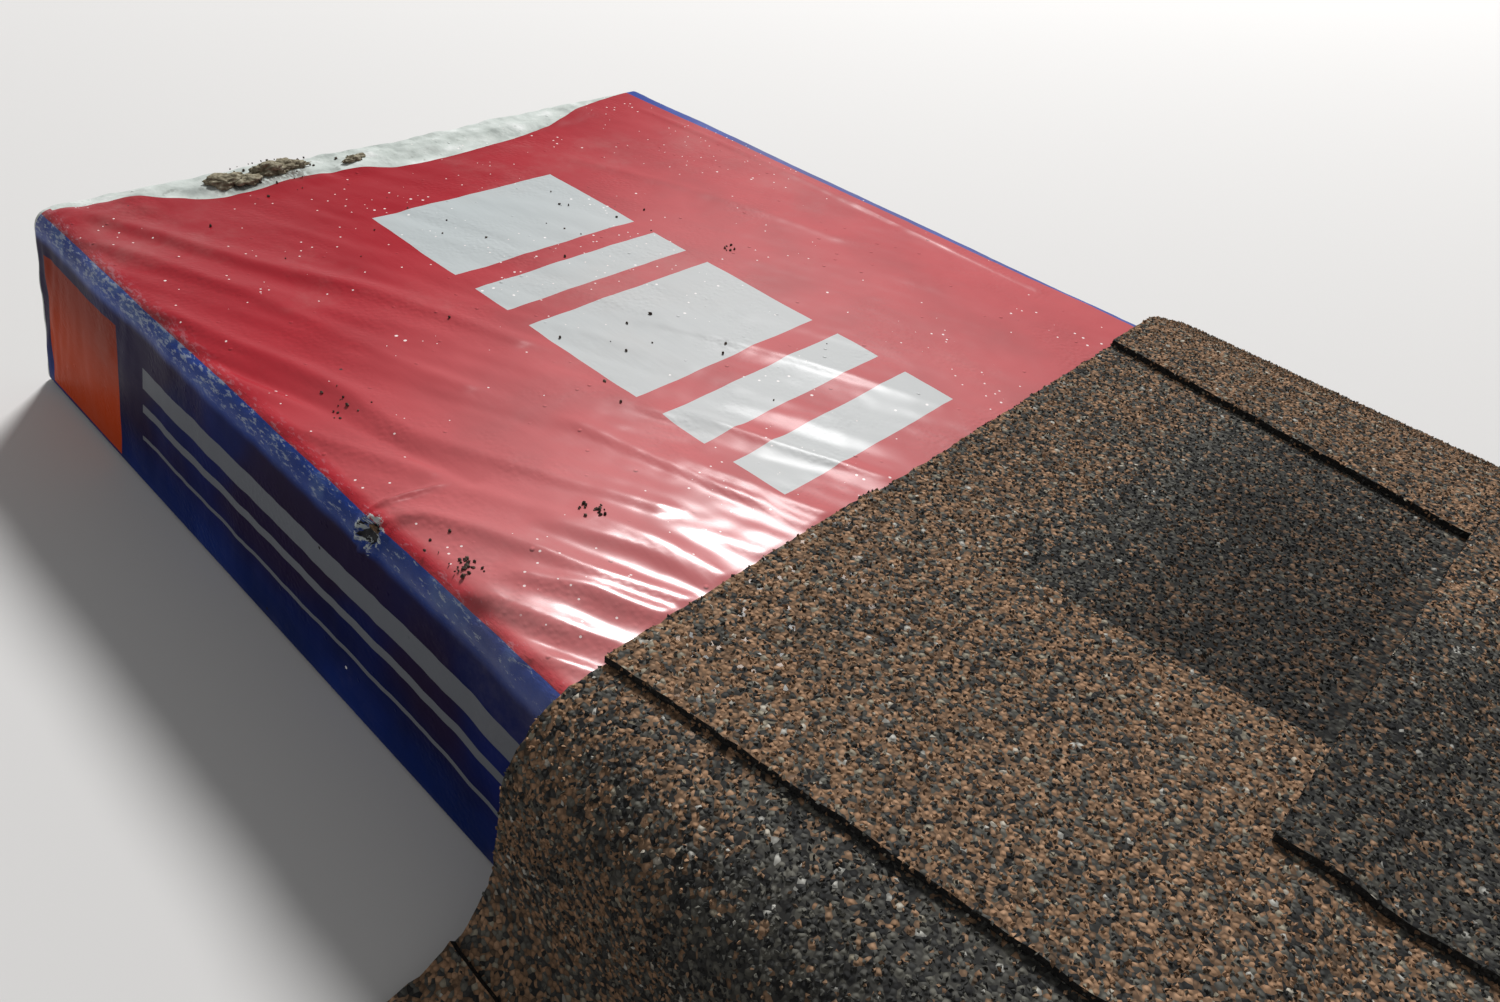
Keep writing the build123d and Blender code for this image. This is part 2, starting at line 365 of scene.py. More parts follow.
def makeFilmMaterial():
    material, tree, shader = newMaterial("printedFilm")
    plus, minus, times, timesPlus = arithmetic(tree, "ADD", "SUBTRACT", "MULTIPLY", "MULTIPLY_ADD")
    largest, smallest, below, above = arithmetic(tree, "MAXIMUM", "MINIMUM", "LESS_THAN", "GREATER_THAN")
    opposite = partial(minus, 1.0)
    rise, paint, noisy = partial(span, tree), partial(blendColour, tree), partial(noiseMask, tree)

    def fall(value, low, high):
        return opposite(rise(value, low, high))

    def apart(first, second):
        return maths(tree, "ABSOLUTE", minus(first, second))

    def box(*values):
        inputs = dict(enumerate(values))
        return addNode(tree, "ShaderNodeGroup", inputs, node_tree=boxGroup).outputs["Mask"]

    def printBox(base, second, sides, shade):
        return paint(box(fromEnd, second, *(side * mm for side in sides)), base, shade)

    def wear(base, mask, name):
        *shade, share = filmWear[name]
        return paint(mask if share == 1 else times(mask, share), base, shade)

    def drawn(turn, along, across):
        inputs = {"Vector": uv, "Rotation": (0, 0, turn), "Scale": (along, across, 1.0)}
        return addNode(tree, "ShaderNodeMapping", inputs).outputs[0]

    def crowded(pick, scale, detail, low, high):
        return below(pick, times(rise(noisy(place, scale, detail), low, high), 0.75))

    place = objectPlace(tree)
    uv = addNode(tree, "ShaderNodeUVMap", uv_map="print").outputs["UV"]
    along, across, _ = addNode(tree, "ShaderNodeSeparateXYZ", {"Vector": uv}).outputs
    level = addNode(tree, "ShaderNodeSeparateXYZ", {"Vector": place}).outputs["Z"]
    fromEnd = smallest(along, minus(bundle["length"], along))
    down = largest(times(across, -1.0), minus(across, bundle["width"]))
    slow, quick = noisy(uv, 14.0, 2.0), noisy(uv, 160.0, 3.0)
    wander = timesPlus(slow, 6 * mm, timesPlus(quick, 1.2 * mm, -3.6 * mm))
    gentle = times(wander, 0.35)

    # Blue film with lighter and darker clouds, darker navy on the sides as print and painted shade, then the
    # prints over it
    cloud = noisy(place, 22.0, 4.0)
    bright, shadedNavy, red = (ramp(tree, cloud, filmLook[name]) for name in ("blue", "shadedNavy", "red"))
    # Purple patches on the upper sides: painted reflection
    paintedReflection = times(rise(slow, 0.4, 0.6), fall(down, 50 * mm, 75 * mm))
    shadedNavy = paint(times(paintedReflection, 0.75), shadedNavy, filmLook["purple"])
    shadedNavy = paint(times(rise(down, 55 * mm, 85 * mm), 0.4), shadedNavy, bright)
    # The sides are darker than the blue top edges: partly their print, partly painted shade
    colour = paint(rise(plus(down, gentle), 8 * mm, 13 * mm), bright, shadedNavy)
    # Side stripes in grey: the white print with painted shade
    for sides in filmLook["sideStripes"]:
        colour = printBox(colour, down, sides, filmLook["shadedSideWhite"])
    orange = paint(rise(plus(down, wander), 15 * mm, 65 * mm), filmLook["dullOrange"], filmLook["orange"])
    colour = printBox(colour, down, filmLook["orangeBlock"], orange)
    paleEnd = box(fromEnd, down, -1.0, timesPlus(quick, 4 * mm, -0.6 * mm), 2 * mm, 84 * mm)
    colour = paint(paleEnd, colour, filmLook["white"])
    # Deeper red towards the far left, where the film shows less sheen: painted shade
    red = paint(rise(timesPlus(across, 0.5, along), 30 * mm, 330 * mm), filmLook["shadedDeepRed"], red)
    widensTo, widensBy = filmLook["redWidens"]
    redEnd = timesPlus(smallest(along, widensTo), widensBy, filmLook["redEnd"])
    isRed = box(along, plus(across, gentle), -1.0, 2.0, filmLook["redStart"], redEnd)
    colour = paint(isRed, colour, red)
    for sides in filmLook["blocks"]:
        colour = printBox(colour, across, sides, filmLook["white"])

    # Scuffs along both rounded edges, and a painted highlight line on the right one
    rubs, blotch = noisy(drawn(0.9, 1.0, 2.6), 210.0, 5.0, 0.7), noisy(place, 75.0, 4.0)
    nearEdge, outside = fall(apart(down, 1 * mm), 3 * mm, 10 * mm), opposite(isRed)
    colour = wear(colour, times(times(rise(blotch, 0.46, 0.68), nearEdge), outside), "rubbed")
    worn = timesPlus(rise(along, 0.12, 0.32), 0.06, timesPlus(blotch, -0.2, 0.6))
    scuff = times(times(rise(minus(rubs, worn), 0.0, 0.09), nearEdge), timesPlus(outside, 0.7, 0.3))
    colour = wear(colour, scuff, "scuffed")
    # Painted highlight along the outer line of the right edge
    lip = times(rise(across, 336.8 * mm, 338 * mm), fall(along, 0.1, 0.22))
    colour = wear(colour, times(lip, rise(down, -2 * mm, -3.5 * mm)), "rimHighlight")

    # Clear film at the ends, over the edges of the stacked shingles
    curve = addNode(tree, "ShaderNodeFloatCurve", {"Value": maths(tree, "DIVIDE", across, bundle["width"])})
    line, limit = curve.mapping.curves[0].points, filmLook["rimLimit"]
    rimLine = [(start * mm / bundle["width"], reach / limit) for start, reach in filmLook["clearRim"]]
    line[0].location, line[1].location = rimLine[0], rimLine[-1]
    for point in rimLine[1:-1]:
        line.new(*point)
    curve.mapping.update()
    onTop, topRim = below(down, -6 * mm), times(curve.outputs[0], limit * mm)
    rim = addNode(tree, "ShaderNodeMix", {0: onTop, 2: filmLook["sideRim"], 3: topRim}).outputs[0]
    isClear = below(plus(fromEnd, gentle), rim)
    smears = rise(noisy(place, 170.0, 5.0, 0.7), 0.58, 0.7)
    milky = wear(ramp(tree, blotch, filmLook["milky"]), smears, "smeared")
    onFace = below(fromEnd, 1 * mm)
    layers = maths(tree, "SINE", timesPlus(level, 2 * math.pi / filmLook["pairPitch"], times(cloud, 6.0)))
    seen = times(timesPlus(rise(layers, -0.5, 0.7), 0.32, 0.5), onFace)
    seen = times(seen, opposite(times(rise(blotch, 0.5, 0.7), 0.45)))
    colour = paint(isClear, colour, paint(seen, milky, filmLook["stackedEdges"]))

    # Torn place: painted shade inside, with a pale jagged rim
    gap = addNode(tree, "ShaderNodeVectorMath", {0: uv, 1: (tear["along"], tear["across"], 0)},
                  operation="DISTANCE").outputs["Value"]
    gap = timesPlus(noisy(uv, 260.0, 4.0), 10 * mm, minus(gap, 5 * mm))
    colour = wear(colour, times(below(gap, tear["radius"] + 2.4 * mm), rise(rubs, 0.46, 0.56)), "frayed")
    colour = wear(colour, times(below(gap, tear["radius"] - 0.6 * mm), below(rubs, 0.56)), "shadeInTear")

    # Darker brown around the dried mud: partly a smear, partly painted shade beneath it
    ahead = apart(timesPlus(wander, 2.0, fromEnd), filmLook["mudPlace"][0])
    aside = apart(across, filmLook["mudPlace"][1])
    clean = largest(rise(aside, 14 * mm, 28 * mm), rise(ahead, 2 * mm, 9 * mm))
    colour = wear(colour, opposite(largest(clean, rise(rubs, 0.45, 0.6))), "mudSmearAndShade")

    # Dust in patches, dark and pale specks, painted glints as pale dots and glints in crowds, and painted
    # sheen towards the shingles
    dust = noisy(place, 9.0, 9.0, 0.7)
    colour = wear(colour, rise(dust, 0.5, 0.8), "dust")
    distance, picks = cellPicks(tree, place, 75.0)
    tiny = below(distance, 0.046)
    colour = wear(colour, times(tiny, above(picks[0], 0.86)), "darkSpeck")
    # Pale specks: grit, and painted glints
    colour = wear(colour, times(tiny, below(picks[0], 0.09)), "paleSpeckAndGlint")
    # Painted glints: pale dots in crowds
    distance, picks = cellPicks(tree, place, 240.0)
    glintDot = times(below(distance, 0.1), crowded(picks[0], 17.0, 3.0, 0.44, 0.62))
    colour = wear(colour, times(glintDot, below(down, -4 * mm)), "glintDot")
    distance, picks = cellPicks(tree, place, 250.0)
    glint = times(below(distance, timesPlus(picks[2], 0.1, 0.06)), crowded(picks[1], 26.0, 2.0, 0.56, 0.64))
    colour = wear(colour, times(glint, rise(down, -9 * mm, -14 * mm)), "glint")
    # Painted sheen: the print paler towards the shingles
    paintedSheen = times(rise(timesPlus(across, 0.6, along), 0.16, 0.34), rise(down, -3 * mm, -9 * mm))
    colour = wear(colour, times(paintedSheen, timesPlus(rise(across, 0.2, 0.32), -0.35, 1.0)), "paintedSheen")

    # Gloss: the coat is strongest where the film is taut, and weak on the sides
    rough = plus(timesPlus(dust, 0.3, 0.26), times(scuff, 0.3), clamp=True)
    lit = fall(down, 4 * mm, 14 * mm)
    taut = times(rise(along, 0.25, 0.31), fall(across, 65 * mm, 115 * mm))
    calmer = timesPlus(rise(across, 65 * mm, 125 * mm), -0.29, 0.42)
    coat = timesPlus(times(taut, lit), 0.5, timesPlus(lit, calmer, 0.04), clamp=True)

    # Relief too fine for the mesh: drawn creases, granules that print through, and single pimples
    calm = times(timesPlus(rise(across, 0.12, 0.26), -0.32, 0.5), timesPlus(onFace, -0.9, 1.0))
    height = times(noisy(drawn(-0.42, 14.0, 75.0), 1.0, 5.0), calm)
    prints = addNode(tree, "ShaderNodeTexVoronoi", {"Vector": place, "Scale": 520.0}, feature="SMOOTH_F1")
    prints = times(prints.outputs["Distance"], rise(noisy(place, 30.0, 3.0), 0.42, 0.7))
    distance, picks = cellPicks(tree, place, 190.0)
    pimples = times(fall(distance, 0.02, 0.2), above(picks[1], 0.86))
    crumpled, rubbed = times(blotch, largest(isClear, nearEdge)), times(rubs, nearEdge)
    for relief, share in ((crumpled, 1.6), (prints, -0.3), (pimples, 0.45), (rubbed, 0.5)):
        height = timesPlus(relief, share, height)
    feed(tree, shader, {"Base Color": colour, "Roughness": rough, "Coat Weight": coat,
                        "Normal": bumpNormal(tree, height, 1.0 * mm), **filmLook["gloss"]})
    return material


filmMaterial = makeFilmMaterial()
print("materials made")

# The film's mesh: a section all round the bundle, carried along it in rows
filmMesh = {
    "topStep": 2.0 * mm,
    "leftStep": 2.6 * mm,
    "rightStep": 3.6 * mm,
    "underStep": 14 * mm,
    "shownRows": 2.0 * mm,
    "tearRows": 1.0 * mm,
    "coveredRows": 14 * mm,
    "nearRows": 3.0 * mm,
    "coveredFrom": 372 * mm,      # from the far end
    "coveredTo": 828 * mm,
    "endRings": (0.04, 0.12, 0.25, 0.45, 0.7, 0.9),
    "footSteps": 4,
    "leftSteps": 12,
    "rightSteps": 9,
    "deepest": -2.3 * mm,         # the film stays clear of the stack
    "ringPrint": 40 * mm,         # how far the print's map runs on over an end
    "noiseAngle": 24,
    "swell": 1.35 * mm,           # before the shingles
    "sag": 3.0 * mm,              # of the far edge between its corners
    "bulge": 2.0 * mm,            # of the ends
}

# Folds on the top in millimetres: a path, as places along from the far edge and across from the left one,
# then the height, and the width on the path's left and right
folds = [
    ([(253, -3), (254, 8), (255, 16), (257, 26)], 1.5, 1.6, 1.0),
    ([(261, 1), (265, 9), (270, 15), (287, 24), (302, 30), (320, 38), (350, 54)], 2.3, 2.6, 7.0),
    ([(301, 16), (313, 23), (324, 31), (335, 36), (352, 44)], 1.7, 2.4, 6.0),
    ([(286, 37), (308, 48), (326, 57), (352, 64)], 1.1, 2.2, 8.0),
    ([(292, 50), (321, 61), (352, 70)], 1.2, 2.6, 9.0),
    ([(298, 3), (317, 11), (333, 18), (352, 30)], 1.8, 2.2, 6.5),
    ([(303, -1), (325, 8), (350, 18)], -1.2, 3.0, 3.0),
    ([(328, -3), (338, 7), (352, 16)], 1.2, 1.8, 4.5),
    ([(2, 3), (40, 27), (102, 55), (142, 80), (200, 100)], 1.8, 4.5, 8.0),
    ([(26, 1), (82, 24), (115, 37), (150, 47), (215, 66)], 1.6, 4.0, 7.5),
    ([(84, -3), (130, 12), (179, 28), (235, 39), (310, 74)], 1.9, 4.0, 7.0),
    ([(112, -3), (138, 2), (160, 10), (200, 22), (262, 36)], -1.7, 3.5, 3.5),
    ([(180, -2), (215, 12), (250, 28)], 1.0, 3.0, 4.0),
    ([(246, 80), (298, 94), (352, 108)], 1.0, 2.2, 6.5),
    ([(282, 95), (336, 112), (356, 122)], 0.9, 2.2, 6.0),
    ([(270, 118), (312, 134), (352, 152)], 0.9, 2.2, 4.0),
    ([(210, 150), (262, 176), (330, 205)], 0.7, 3.0, 5.0),
    ([(60, 230), (130, 262), (210, 285)], 0.7, 4.0, 6.0),
    ([(16, 318), (90, 322), (190, 325), (300, 327)], 0.9, 2.0, 2.5),
]


def smoothPath(points, count):
    points = np.array([points[0], *points, points[-1]], float)
    made = []
    for a, b, c, d in zip(points, points[1:], points[2:], points[3:]):
        for t in np.linspace(0, 1, count, endpoint=False):
            made.append(0.5 * (2 * b + (c - a) * t + (2 * a - 5 * b + 4 * c - d) * t ** 2
                               + (3 * b - 3 * c + d - a) * t ** 3))
    return np.array([*made, points[-2]])


def foldRelief(along, across):
    relief = np.zeros(len(along))
    for points, height, left, right in folds:
        path = smoothPath(points, 10) * mm
        reach = 4 * max(left, right) * mm
        low, high = path.min(0) - reach, path.max(0) + reach
        inside = (along > low[0]) & (along < high[0]) & (across > low[1]) & (across < high[1])
        if not inside.any():
            continue
        path = path @ (1, 1j)      # places as complex numbers
        start, step = path[:-1], np.diff(path)
        gaps = (along + across * 1j)[inside][:, None] - start
        share = np.clip((gaps * step.conj()).real / abs(step) ** 2, 0, 1)
        gaps = gaps - share * step
        nearest = abs(gaps).argmin(1)
        rows = np.arange(len(nearest))
        gap, run = gaps[rows, nearest], (nearest + share[rows, nearest]) / len(start)
        width = np.where((gap * step[nearest].conj()).imag > 0, right, left) * mm
        fade = smoothRise(run, 0, 0.18) * (1 - 0.45 * smoothRise(run, 0.6, 1.0))
        relief[inside] += height * mm * fade / (1 + (abs(gap) / width) ** 2) ** 1.5
    return relief


def topRelief(along, across):
    where = triples(along, across)
    turn = math.radians(filmMesh["noiseAngle"])
    drawn = triples((along * math.cos(turn) + across * math.sin(turn)) * 0.16,
                    across * math.cos(turn) - along * math.sin(turn))
    leftward = smoothFall(across, 60 * mm, 230 * mm)
    relief = foldRelief(along, across)
    relief += noiseField(drawn, 85, 1) * (0.22 + 0.85 * leftward) * mm
    relief += noiseField(drawn, 210, 2) * (0.08 + 0.22 * leftward) * mm
    relief += noiseField(where, 16, 3) * 0.8 * mm
    relief += noiseField(where, 140, 4) * 0.12 * mm
    swell = smoothRise(along, 215 * mm, 312 * mm) * smoothFall(along, 318 * mm, 352 * mm)
    relief += filmMesh["swell"] * swell * smoothFall(across, 50 * mm, 110 * mm)
    middle = np.exp(-((across / bundle["width"] - 0.5) / 0.25) ** 2)
    relief -= filmMesh["sag"] * middle * smoothFall(along, 0, 70 * mm)
    # The clear film at the far end is crumpled
    rolled = smoothFall(along, 14 * mm, 34 * mm) * smoothFall(across, 250 * mm, 320 * mm)
    relief += rolled * (1.6 + noiseField(where, 45, 12) * 1.6 + noiseField(where, 120, 5) * 0.9) * mm
    return relief


def sideRelief(along, down):
    where = triples(along, down * 0.35)
    relief = noiseField(where, 70, 6) * 0.5 * mm + noiseField(where, 20, 7) * 0.9 * mm
    ends = smoothFall(np.minimum(along, bundle["length"] - along), 5 * mm, 40 * mm)
    return relief + noiseField(where, 190, 8) * (0.2 + 0.7 * ends) * mm


def tearRelief(along, across):
    gap = np.hypot(along - tear["along"], (across - tear["across"]) * 0.8)
    where = triples(along, across)
    ragged = tear["radius"] * (1 + 0.45 * noiseField(where, 330, 9))
    pit = -tear["depth"] * smoothFall(gap, ragged * 0.6, ragged)
    lip = tear["lip"] * np.exp(-((gap - ragged * 1.25) / (0.3 * tear["radius"])) ** 2)
    return pit + lip * (1 + 0.8 * noiseField(where, 420, 10))


# Points across and up, their outward directions, and their places across from the left top edge
def filmSection():
    half, height = bundle["width"] / 2, bundle["height"]
    top, foot = bundle["topRadius"], bundle["footRadius"]
    straights = [half - foot, height - foot - top, 2 * (half - top), height - foot - top, half - foot]
    steps = [filmMesh[name] for name in ("underStep", "leftStep", "topStep", "rightStep", "underStep")]
    bends = [(foot, filmMesh["footSteps"]), (top, filmMesh["leftSteps"]), (top, filmMesh["rightSteps"]),
             (foot, filmMesh["footSteps"]), (0, 0)]
    at, walked, facing = np.zeros(2), -height - half, 270      # from the underside's middle, to its left
    points, outward, across = [], [], []
    for length, step, (radius, turns) in zip(straights, steps, bends):
        normal = np.array([math.cos(math.radians(facing)), math.sin(math.radians(facing))])
        ahead = np.array([normal[1], -normal[0]])
        count = max(1, round(length / step))
        for share in (i / count for i in range(count)):
            points.append(at + ahead * length * share)
            outward.append(normal)
            across.append(walked + length * share)
        at = at + ahead * length
        walked += length
        for share in (i / turns for i in range(turns)):
            angle = math.radians(facing - 90 * share)
            outward.append(np.array([math.cos(angle), math.sin(angle)]))
            points.append(at + radius * (outward[-1] - normal))
            across.append(walked + 2 * radius * share)
        at = at + radius * (ahead - normal)
        walked += 2 * radius
        facing -= 90
    return np.array(points), np.array(outward), np.array([*across, walked])


def filmRows():
    length, radius = bundle["length"], bundle["endRadius"]
    limits = [radius, tear["along"] - 10 * mm, tear["along"] + 10 * mm, filmMesh["coveredFrom"],
              filmMesh["coveredTo"], length - radius]
    steps = [filmMesh[name] for name in ("shownRows", "tearRows", "shownRows", "coveredRows", "nearRows")]
    bends = [(radius * (1 - math.cos(angle)), radius * (1 - math.sin(angle)), 0.0)
             for angle in (math.radians(22.5 * i) for i in range(5))]
    rows = [(0.0, radius, share) for share in reversed(filmMesh["endRings"])] + bends[:-1]
    for start, end, step in zip(limits, limits[1:], steps):
        count = round((end - start) / step)
        rows += [(start + (end - start) * i / count, 0.0, 0.0) for i in range(count)]
    rows += [(length - back, inset, 0.0) for back, inset, _ in reversed(bends)]
    rows += [(length, radius, share) for share in filmMesh["endRings"]]
    return np.array(rows)      # place along, inset, and how far the row shrinks to the end's middle


def makeFilm():
    section, outward, across = filmSection()
    rows = filmRows()
    count = len(section)
    along, inset, shrink = np.repeat(rows, count, 0).T
    side = np.tile(across[:-1], len(rows))
    points, normals = (np.tile(part, (len(rows), 1)) for part in (section, outward))
    down = np.maximum(-side, side - bundle["width"])
    relief, shown = np.zeros(len(along)), down < bundle["height"] - bundle["footRadius"]
    share = np.clip((down / bundle["topRadius"] + 1) / 2, 0, 1)      # 0 on the top, 1 on the sides
    for weight, field, second in ((1 - share, topRelief, side), (share, sideRelief, down)):
        part = shown & (weight > 0)
        relief[part] += weight[part] * field(along[part], second[part])
    foot = smoothRise(points[:, 1], 3 * mm, 14 * mm)
    near = along - bundle["length"] / 2 + bundle["slopeAlong"] * points[:, 1]
    under = smoothRise(near, -142 * mm, -136 * mm) * smoothFall(near, 353 * mm, 359 * mm)
    relief *= foot
    relief -= (down < 12 * mm) * under * np.maximum(relief - 0.1 * mm, 0)      # pressed flat by the shingles
    relief = np.maximum(relief, filmMesh["deepest"])
    relief += tearRelief(along, side)
    relief *= smoothFall(shrink, 0, 0.2)
    points = points + normals * (relief - inset)[:, None]
    middle = np.array([0, bundle["height"] / 2])
    points = points + (middle - points) * shrink[:, None]
    ends = np.sign(along - bundle["length"] / 2) * (shrink > 0)
    pushed = (noiseField(np.stack([ends, points[:, 0], points[:, 1]], 1), 60, 11) + 0.4) * filmMesh["bulge"]
    pushed *= ends * smoothRise(points[:, 1], 0, 10 * mm)
    x = along - bundle["length"] / 2 + pushed + bundle["slopeAlong"] * points[:, 1]
    y = points[:, 0] + bundle["slopeAcross"] * points[:, 1]
    cloud = np.stack([x, y, np.maximum(points[:, 1], 0)], 1)
    faces, corners = [], []
    ringU = rows[:, 0] + np.where(rows[:, 0] > 0, 1, -1) * rows[:, 2] * filmMesh["ringPrint"]
    for i in range(len(rows) - 1):
        for j in range(count):
            around = (i, j), (i + 1, j), (i + 1, j + 1), (i, j + 1)
            faces.append([row * count + column % count for row, column in around])
            corners += [(ringU[row], across[column]) for row, column in around]
    for ring, turn in ((0, 1), (len(rows) - 1, -1)):
        pole = len(cloud)
        cloud = np.vstack([cloud, cloud[ring * count:(ring + 1) * count].mean(0)])
        for j in range(count):
            pair = (ring * count + j, ring * count + (j + 1) % count)[::turn]
            faces.append((*pair, pole))
            corners += [(ringU[ring], across[j])] * 3
    piece = makePiece("wrapperFilm", cloud, faces, [filmMaterial])
    layer = piece.data.uv_layers.new(name="print")
    layer.data.foreach_set("uv", np.array(corners, np.float32).ravel())
    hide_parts("wrapper_film")
    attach(piece, "root")
    print("film made:", len(faces), "faces")


makeFilm()

# The drape: how a shingle comes up from the left floor and over the bundle, where its right end droops
drape = {
    "plyThickness": 2.6 * mm,
    "levelPitch": 2.8 * mm,
    "layGap": 0.3 * mm,
    "shoulderGap": 0.1 * mm,
    "leftAngle": 83.0,
    "leftShoulder": 26 * mm,
    "leftFoot": 40 * mm,
    "rightAngle": 22.0,
    "rightShoulder": 25 * mm,
    "rightInset": 10.2 * mm,
    "rightOverhang": 49 * mm,
    "overhangSpare": 20 * mm,
    "shingleLength": 1000 * mm,
    "ramp": 16 * mm,              # a ply comes down this gently behind the ply that it lay on
    "ripple": 0.7 * mm,
    "ragged": 0.9 * mm,
    "stepAlong": 3.1 * mm,
    "stepFloor": 8 * mm,          # on the floor, and where a shingle is covered
    "stepShown": 3.6 * mm,
    "stepPlain": 6 * mm,
    "stepCovered": 11 * mm,
    "shownFrom": 488,             # millimetres along a shingle
    "shownRoot": 165,             # and behind its butt edge
}


def arcRise(radius, angle):
    return radius * (1 - math.cos(math.radians(angle)))


def drapeLegs():
    d = drape
    leanAngle = math.degrees(math.atan(bundle["slopeAcross"]))
    height = bundle["height"] + d["layGap"]
    spare, play = d["leftShoulder"] - bundle["topRadius"], d["layGap"] - d["shoulderGap"]
    inset = math.sqrt(play * (2 * spare - d["layGap"] - d["shoulderGap"]))
    start = topLeft + bundle["topRadius"] * math.tan(math.radians(45 - leanAngle / 2)) + inset
    run = topLeft + bundle["width"] - d["rightInset"] - start
    leftBends = arcRise(d["leftShoulder"], d["leftAngle"]) + arcRise(d["leftFoot"], d["leftAngle"])
    riser = (height - leftBends) / math.sin(math.radians(d["leftAngle"]))
    left, right = math.radians(d["leftAngle"]), math.radians(d["rightAngle"])
    legs = [(d["leftFoot"] * left, d["leftAngle"]), (riser, 0), (d["leftShoulder"] * left, -d["leftAngle"]),
            (run, 0), (d["rightShoulder"] * right, -d["rightAngle"]), (d["rightOverhang"], 0)]
    tail = d["shingleLength"] - sum(length for length, turn in legs)
    reach = tail + riser * math.cos(left) + (d["leftFoot"] + d["leftShoulder"]) * math.sin(left)
    return [(tail, 0), *legs, (d["overhangSpare"], 0)], start - reach


legs, tailStart = drapeLegs()


def drapePoints(x, distance, height):
    place = np.full(len(distance), tailStart, complex)      # Y, and Z as its imaginary part
    heading, walked = np.zeros(len(distance)), 0.0
    for length, turn in legs:
        local = np.clip(distance - walked, 0, length)
        bend = math.radians(turn) * local / length
        place += local * np.sinc(bend / math.tau) * np.exp(1j * (heading + bend / 2))
        heading += bend
        walked += length
    place += 1j * height * np.exp(1j * heading)
    return np.stack([x, place.real, place.imag], 1)


# Plies from below upwards, in millimetres. Butt and drops are the X of the front edge and of each step
# down a level, notches are the start and width at that edge and the lean of each side at the root
lower = {"butt": -136.0, "shift": 0}
upper = {"butt": 16.0, "shift": 12}
backing = {"slot": "backing_granules", "depth": 165, "tone": 0.45, "notches": []}
overlay = {"slot": "overlay_granules", "depth": 336.6}
shingles = {
    "plies": [
        {"name": "lowerBacking", "node": "lower_shingle_backing", **lower, **backing, "level": 0,
         "drops": [], "coveredAfter": 10, "seed": 21},
        {"name": "lowerOverlay", "node": "lower_shingle_overlay", **lower, **overlay, "level": 1,
         "drops": [29.2], "tone": 0.36, "coveredAfter": 18, "seed": 22,
         "notches": [(36, 96, -9, 12), (276, 82, 10, 9), (520, 105, -10, 18), (742, 168, 12, -15)]},
        {"name": "upperBacking", "node": "upper_shingle_backing", **upper, **backing, "level": 2,
         "drops": [30.0], "coveredAfter": 165, "seed": 23},
        {"name": "upperOverlay", "node": "upper_shingle_overlay", **upper, **overlay, "level": 3,
         "drops": [30.8, 181.4, 200.9], "tone": 1.5, "coveredAfter": 400, "seed": 24,
         "notches": [(20, 100, 10, -9), (309, 98, 12, -9), (543, 152, 11, 16), (904, 96, -10, 0)]},
    ],
    "toothDepth": 158,
    "noiseScale": 330,            # of the ragged edges
    "granuleSize": 0.86 * mm,
    "granulesShown": 335000.0,    # for each square metre of the part nearest the camera
    "granulesElsewhere": 0.08,
}


def plyLines(ply):
    butt, root, tooth = [], [], []
    edges = [(0.0, 0.0)]
    for start, width, startLean, endLean in ply["notches"]:
        edges += [(start, start + startLean), (start + width, start + width + endLean)]
    whole = drape["shingleLength"] / mm
    edges.append((whole, whole))
    for i, (first, last) in enumerate(zip(edges, edges[1:])):
        if last[1] - first[1] < 0.1:
            continue
        at = [first[1]]
        while at[-1] < last[1]:
            at.append(at[-1] + drape["stepAlong" if at[-1] > drape["shownFrom"] else "stepFloor"] / mm)
        share = (np.array(at[:-1]) - at[0]) / (at[-1] - at[0])
        butt += list(first[0] + (last[0] - first[0]) * share)
        root += list(first[1] + (last[1] - first[1]) * share)
        tooth += [i % 2 == 0] * len(share)
    return np.array([*butt, whole]) * mm, np.array([*root, whole]) * mm, np.array(tooth)


def plyRows(ply):
    limits = [0.0, shingles["toothDepth"], ply["depth"]] if ply["notches"] else [0.0, ply["depth"]]
    shown = min(max(ply["coveredAfter"] - ply["butt"], 0), ply["depth"])
    rows = []
    for start, end in zip(limits, limits[1:]):
        at = start
        while at < end - 0.5:
            rows.append(at)
            step = "stepShown" if at < drape["shownRoot"] else "stepPlain"
            at += drape[step if at < shown else "stepCovered"] / mm
        while end - rows[-1] < 2:
            rows.pop()
    rootRow = sum(row < shingles["toothDepth"] - 0.01 for row in rows) if ply["notches"] else 0
    return np.array([*rows, ply["depth"]]) * mm, rootRow


def plyHeight(ply, x):
    level = np.full(len(x), float(ply["level"]))
    for drop in ply["drops"]:
        level -= smoothRise(x, drop * mm, drop * mm + drape["ramp"])
    return level * drape["levelPitch"]


def toneField(ply, x, s):
    tone = ply["tone"] + noiseField(triples(x, s, ply["seed"] * 0.1), 9, ply["seed"]) * 0.22
    deep = x - ply["butt"] * mm       # tones change away from the butt edge
    if ply["name"] == "lowerBacking":
        band = 0.8 + 0.47 * smoothRise(s, 700 * mm, 745 * mm) - 0.3 * smoothRise(s, 830 * mm, 910 * mm)
        tone += band * smoothRise(deep, 30 * mm, 100 * mm)
    if ply["name"] == "upperBacking":
        tone += 0.3 * smoothRise(deep, 60 * mm, 120 * mm)
    if ply["name"] == "upperOverlay":
        brown = smoothRise(s, 790 * mm, 835 * mm)      # only its last tooth is brown
        tone -= brown + (1 - brown) * 0.35 * smoothRise(deep, 30 * mm, 75 * mm)
    return np.clip(tone, 0, 2)


